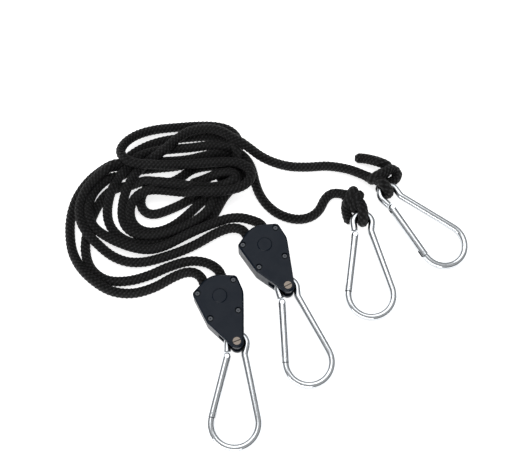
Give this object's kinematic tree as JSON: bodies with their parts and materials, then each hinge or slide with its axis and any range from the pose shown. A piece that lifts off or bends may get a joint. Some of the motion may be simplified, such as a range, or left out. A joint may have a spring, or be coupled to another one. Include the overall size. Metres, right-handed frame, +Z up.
{
  "type": "rope ratchet hanger pair",
  "caption": "Pair of adjustable rope hangers lying coiled: ratchet blocks with spring hooks in their eyes, and ropes that end in knots on spring hooks.",
  "frame": {"origin": "on the surface the hangers lie on, under the wheel axle of the near block", "axes": "+Z up from the surface, +Y away from the hooks' bows of the near block, +X towards the end hooks"},
  "size_m": [0.2874, 0.2441, 0.0194],
  "materials": {
    "housing": "satin, fine grain",
    "rope": "solid braid",
    "plated_steel": "bright zinc plate",
    "screws": "dark zinc",
    "eye_bolt": "nickel plated",
    "wheel": "die cast",
    "inner_steel": "plain"
  },
  "bodies": {
    "hangers": {"near_front_cover": "housing", "near_back_cover": "housing", "near_cover_screw_1": "screws", "near_cover_screw_2": "screws", "near_cover_screw_3": "screws", "near_cover_screw_4": "screws", "near_eye_bolt": "eye_bolt", "near_eye_sleeve": "eye_bolt", "near_eye_nut": "screws", "near_wheel_axle": "inner_steel", "near_pawl_pin": "inner_steel", "near_rope_wrap": "rope", "far_front_cover": "housing", "far_back_cover": "housing", "far_cover_screw_1": "screws", "far_cover_screw_2": "screws", "far_cover_screw_3": "screws", "far_cover_screw_4": "screws", "far_eye_bolt": "eye_bolt", "far_eye_sleeve": "eye_bolt", "far_eye_nut": "screws", "far_wheel_axle": "inner_steel", "far_pawl_pin": "inner_steel", "far_rope_wrap": "rope", "near_load_rope": "rope", "near_tail_rope": "rope", "far_load_rope": "rope", "far_tail_rope": "rope", "near_end_rope": "rope", "far_end_rope": "rope", "rope_coil": "rope", "near_knot": "rope", "far_knot": "rope"},
    "near_wheel": {"near_wheel_front": "wheel", "near_wheel_back": "wheel", "near_wheel_bush": "inner_steel"},
    "near_pawl": {"near_pawl": "inner_steel", "near_pawl_spring": "inner_steel"},
    "far_wheel": {"far_wheel_front": "wheel", "far_wheel_back": "wheel", "far_wheel_bush": "inner_steel"},
    "far_pawl": {"far_pawl": "inner_steel", "far_pawl_spring": "inner_steel"},
    "near_block_hook": {"near_block_hook_wire": "plated_steel", "near_block_gate_rivet": "plated_steel"},
    "near_block_gate": {"near_block_gate": "plated_steel", "near_block_gate_catch": "plated_steel"},
    "far_block_hook": {"far_block_hook_wire": "plated_steel", "far_block_gate_rivet": "plated_steel"},
    "far_block_gate": {"far_block_gate": "plated_steel", "far_block_gate_catch": "plated_steel"},
    "near_end_hook": {"near_end_hook_wire": "plated_steel", "near_end_gate_rivet": "plated_steel"},
    "near_end_gate": {"near_end_gate": "plated_steel", "near_end_gate_catch": "plated_steel"},
    "far_end_hook": {"far_end_hook_wire": "plated_steel", "far_end_gate_rivet": "plated_steel"},
    "far_end_gate": {"far_end_gate": "plated_steel", "far_end_gate_catch": "plated_steel"}
  },
  "joints": [
    {"name": "near_wheel_spin", "type": "hinge", "parent": "hangers", "child": "near_wheel", "pos_m": [0, 0, 0.0078], "axis": [0, 0, 1], "continuous": true},
    {"name": "near_pawl_swing", "type": "hinge", "parent": "hangers", "child": "near_pawl", "pos_m": [-0.00631, 0.01098, 0.01265], "axis": [0, 0, 1], "range_deg": [0, 24], "stiffness_Nm_per_rad": 0.004, "springref_deg": -20.05},
    {"name": "far_wheel_spin", "type": "hinge", "parent": "hangers", "child": "far_wheel", "pos_m": [0.0308, 0.0376, 0.0078], "axis": [0, 0, 1], "continuous": true},
    {"name": "far_pawl_swing", "type": "hinge", "parent": "hangers", "child": "far_pawl", "pos_m": [0.02317, 0.0477, 0.01265], "axis": [0, 0, 1], "range_deg": [0, 24], "stiffness_Nm_per_rad": 0.004, "springref_deg": -20.05},
    {"name": "near_block_hook_swing", "type": "hinge", "parent": "hangers", "child": "near_block_hook", "pos_m": [0.012, -0.0316, 0.0078], "axis": [0, 0, 1], "range_deg": [-54, 30]},
    {"name": "near_block_gate_swing", "type": "hinge", "parent": "near_block_hook", "child": "near_block_gate", "pos_m": [0.00531, -0.04022, 0.00712], "axis": [-0.0017, -0.0767, 0.9971], "range_deg": [0, 26], "stiffness_Nm_per_rad": 0.03, "springref_deg": -14.32},
    {"name": "far_block_hook_swing", "type": "hinge", "parent": "hangers", "child": "far_block_hook", "pos_m": [0.04667, 0.00776, 0.0078], "axis": [0, 0, 1], "range_deg": [-15, 30]},
    {"name": "far_block_gate_swing", "type": "hinge", "parent": "far_block_hook", "child": "far_block_gate", "pos_m": [0.0427, -0.00241, 0.00712], "axis": [0.0201, -0.0741, 0.9971], "range_deg": [0, 26], "stiffness_Nm_per_rad": 0.03, "springref_deg": -14.32},
    {"name": "near_end_hook_lift", "type": "hinge", "parent": "hangers", "child": "near_end_hook", "pos_m": [0.10031, 0.06328, 0.0098], "axis": [-0.9972, -0.075, 0], "range_deg": [0, 90]},
    {"name": "near_end_gate_swing", "type": "hinge", "parent": "near_end_hook", "child": "near_end_gate", "pos_m": [0.09497, 0.04751, 0.00831], "axis": [0.0072, -0.0964, 0.9953], "range_deg": [0, 26], "stiffness_Nm_per_rad": 0.03, "springref_deg": -14.32},
    {"name": "far_end_hook_lift", "type": "hinge", "parent": "hangers", "child": "far_end_hook", "pos_m": [0.11635, 0.08388, 0.0098], "axis": [-0.7096, -0.7046, 0], "range_deg": [0, 90]},
    {"name": "far_end_gate_swing", "type": "hinge", "parent": "far_end_hook", "child": "far_end_gate", "pos_m": [0.12254, 0.06843, 0.00831], "axis": [0.0681, -0.0686, 0.9953], "range_deg": [0, 26], "stiffness_Nm_per_rad": 0.03, "springref_deg": -14.32}
  ]
}
